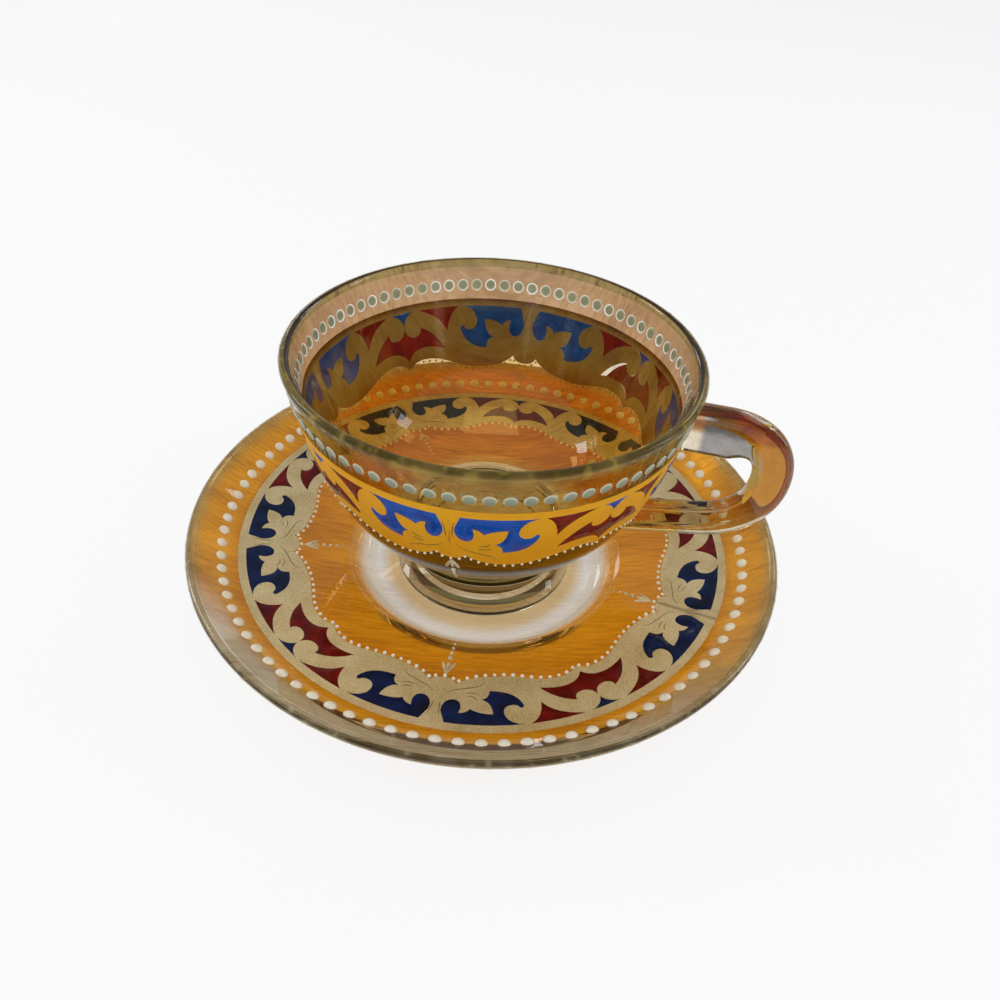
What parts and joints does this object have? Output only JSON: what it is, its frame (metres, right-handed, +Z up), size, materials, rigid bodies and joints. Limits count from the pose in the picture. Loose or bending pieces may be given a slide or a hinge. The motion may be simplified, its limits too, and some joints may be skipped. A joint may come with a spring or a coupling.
{
  "type": "teacup and saucer",
  "caption": "Glass teacup with a flat ring handle and low foot, standing in the well of a matching saucer, both banded with gilt scrollwork and enamel.",
  "frame": {"origin": "middle of the saucer's flat ground base", "axes": "+Z up along the common axis of cup and saucer, +X from the axis towards the handle"},
  "size_m": [0.1404, 0.1404, 0.0646],
  "materials": {
    "saucer_glass": "gloss",
    "bowl_glass": "gloss",
    "foot_glass": "gloss",
    "handle_glass": "gloss",
    "gilding": "satin",
    "worn_gilding": "worn satin",
    "blue_enamel": "gloss",
    "ruby_enamel": "gloss"
  },
  "bodies": {
    "saucer": {"saucer_plate": "saucer_glass", "saucer_lip_gilding": "worn_gilding", "saucer_gold_band": "gilding", "saucer_blue_panel_1": "blue_enamel", "saucer_blue_panel_2": "blue_enamel", "saucer_blue_panel_3": "blue_enamel", "saucer_blue_panel_4": "blue_enamel", "saucer_blue_panel_5": "blue_enamel", "saucer_blue_panel_6": "blue_enamel", "saucer_blue_panel_7": "blue_enamel", "saucer_blue_panel_8": "blue_enamel", "saucer_blue_panel_9": "blue_enamel", "saucer_blue_panel_10": "blue_enamel", "saucer_ruby_heart_1": "ruby_enamel", "saucer_ruby_heart_2": "ruby_enamel", "saucer_ruby_heart_3": "ruby_enamel", "saucer_ruby_heart_4": "ruby_enamel", "saucer_ruby_heart_5": "ruby_enamel", "saucer_ruby_corner_1": "ruby_enamel", "saucer_ruby_corner_2": "ruby_enamel", "saucer_ruby_corner_3": "ruby_enamel", "saucer_ruby_corner_4": "ruby_enamel", "saucer_ruby_corner_5": "ruby_enamel", "saucer_ruby_corner_6": "ruby_enamel", "saucer_ruby_corner_7": "ruby_enamel", "saucer_ruby_corner_8": "ruby_enamel", "saucer_ruby_corner_9": "ruby_enamel", "saucer_ruby_corner_10": "ruby_enamel"},
    "cup": {"cup_bowl": "bowl_glass", "cup_foot": "foot_glass", "cup_handle": "handle_glass", "cup_lip_gilding": "worn_gilding", "cup_gold_band": "gilding", "cup_blue_panel_1": "blue_enamel", "cup_blue_panel_2": "blue_enamel", "cup_blue_panel_3": "blue_enamel", "cup_blue_panel_4": "blue_enamel", "cup_blue_panel_5": "blue_enamel", "cup_blue_panel_6": "blue_enamel", "cup_blue_panel_7": "blue_enamel", "cup_blue_panel_8": "blue_enamel", "cup_ruby_heart_1": "ruby_enamel", "cup_ruby_heart_2": "ruby_enamel", "cup_ruby_heart_3": "ruby_enamel", "cup_ruby_heart_4": "ruby_enamel", "cup_ruby_corner_1": "ruby_enamel", "cup_ruby_corner_2": "ruby_enamel", "cup_ruby_corner_3": "ruby_enamel", "cup_ruby_corner_4": "ruby_enamel", "cup_ruby_corner_5": "ruby_enamel", "cup_ruby_corner_6": "ruby_enamel", "cup_ruby_corner_7": "ruby_enamel", "cup_ruby_corner_8": "ruby_enamel"}
  },
  "joints": [
    {"name": "cup_lift", "type": "slide", "parent": "saucer", "child": "cup", "axis": [0, 0, 1], "range_m": [0, 0.12]}
  ]
}
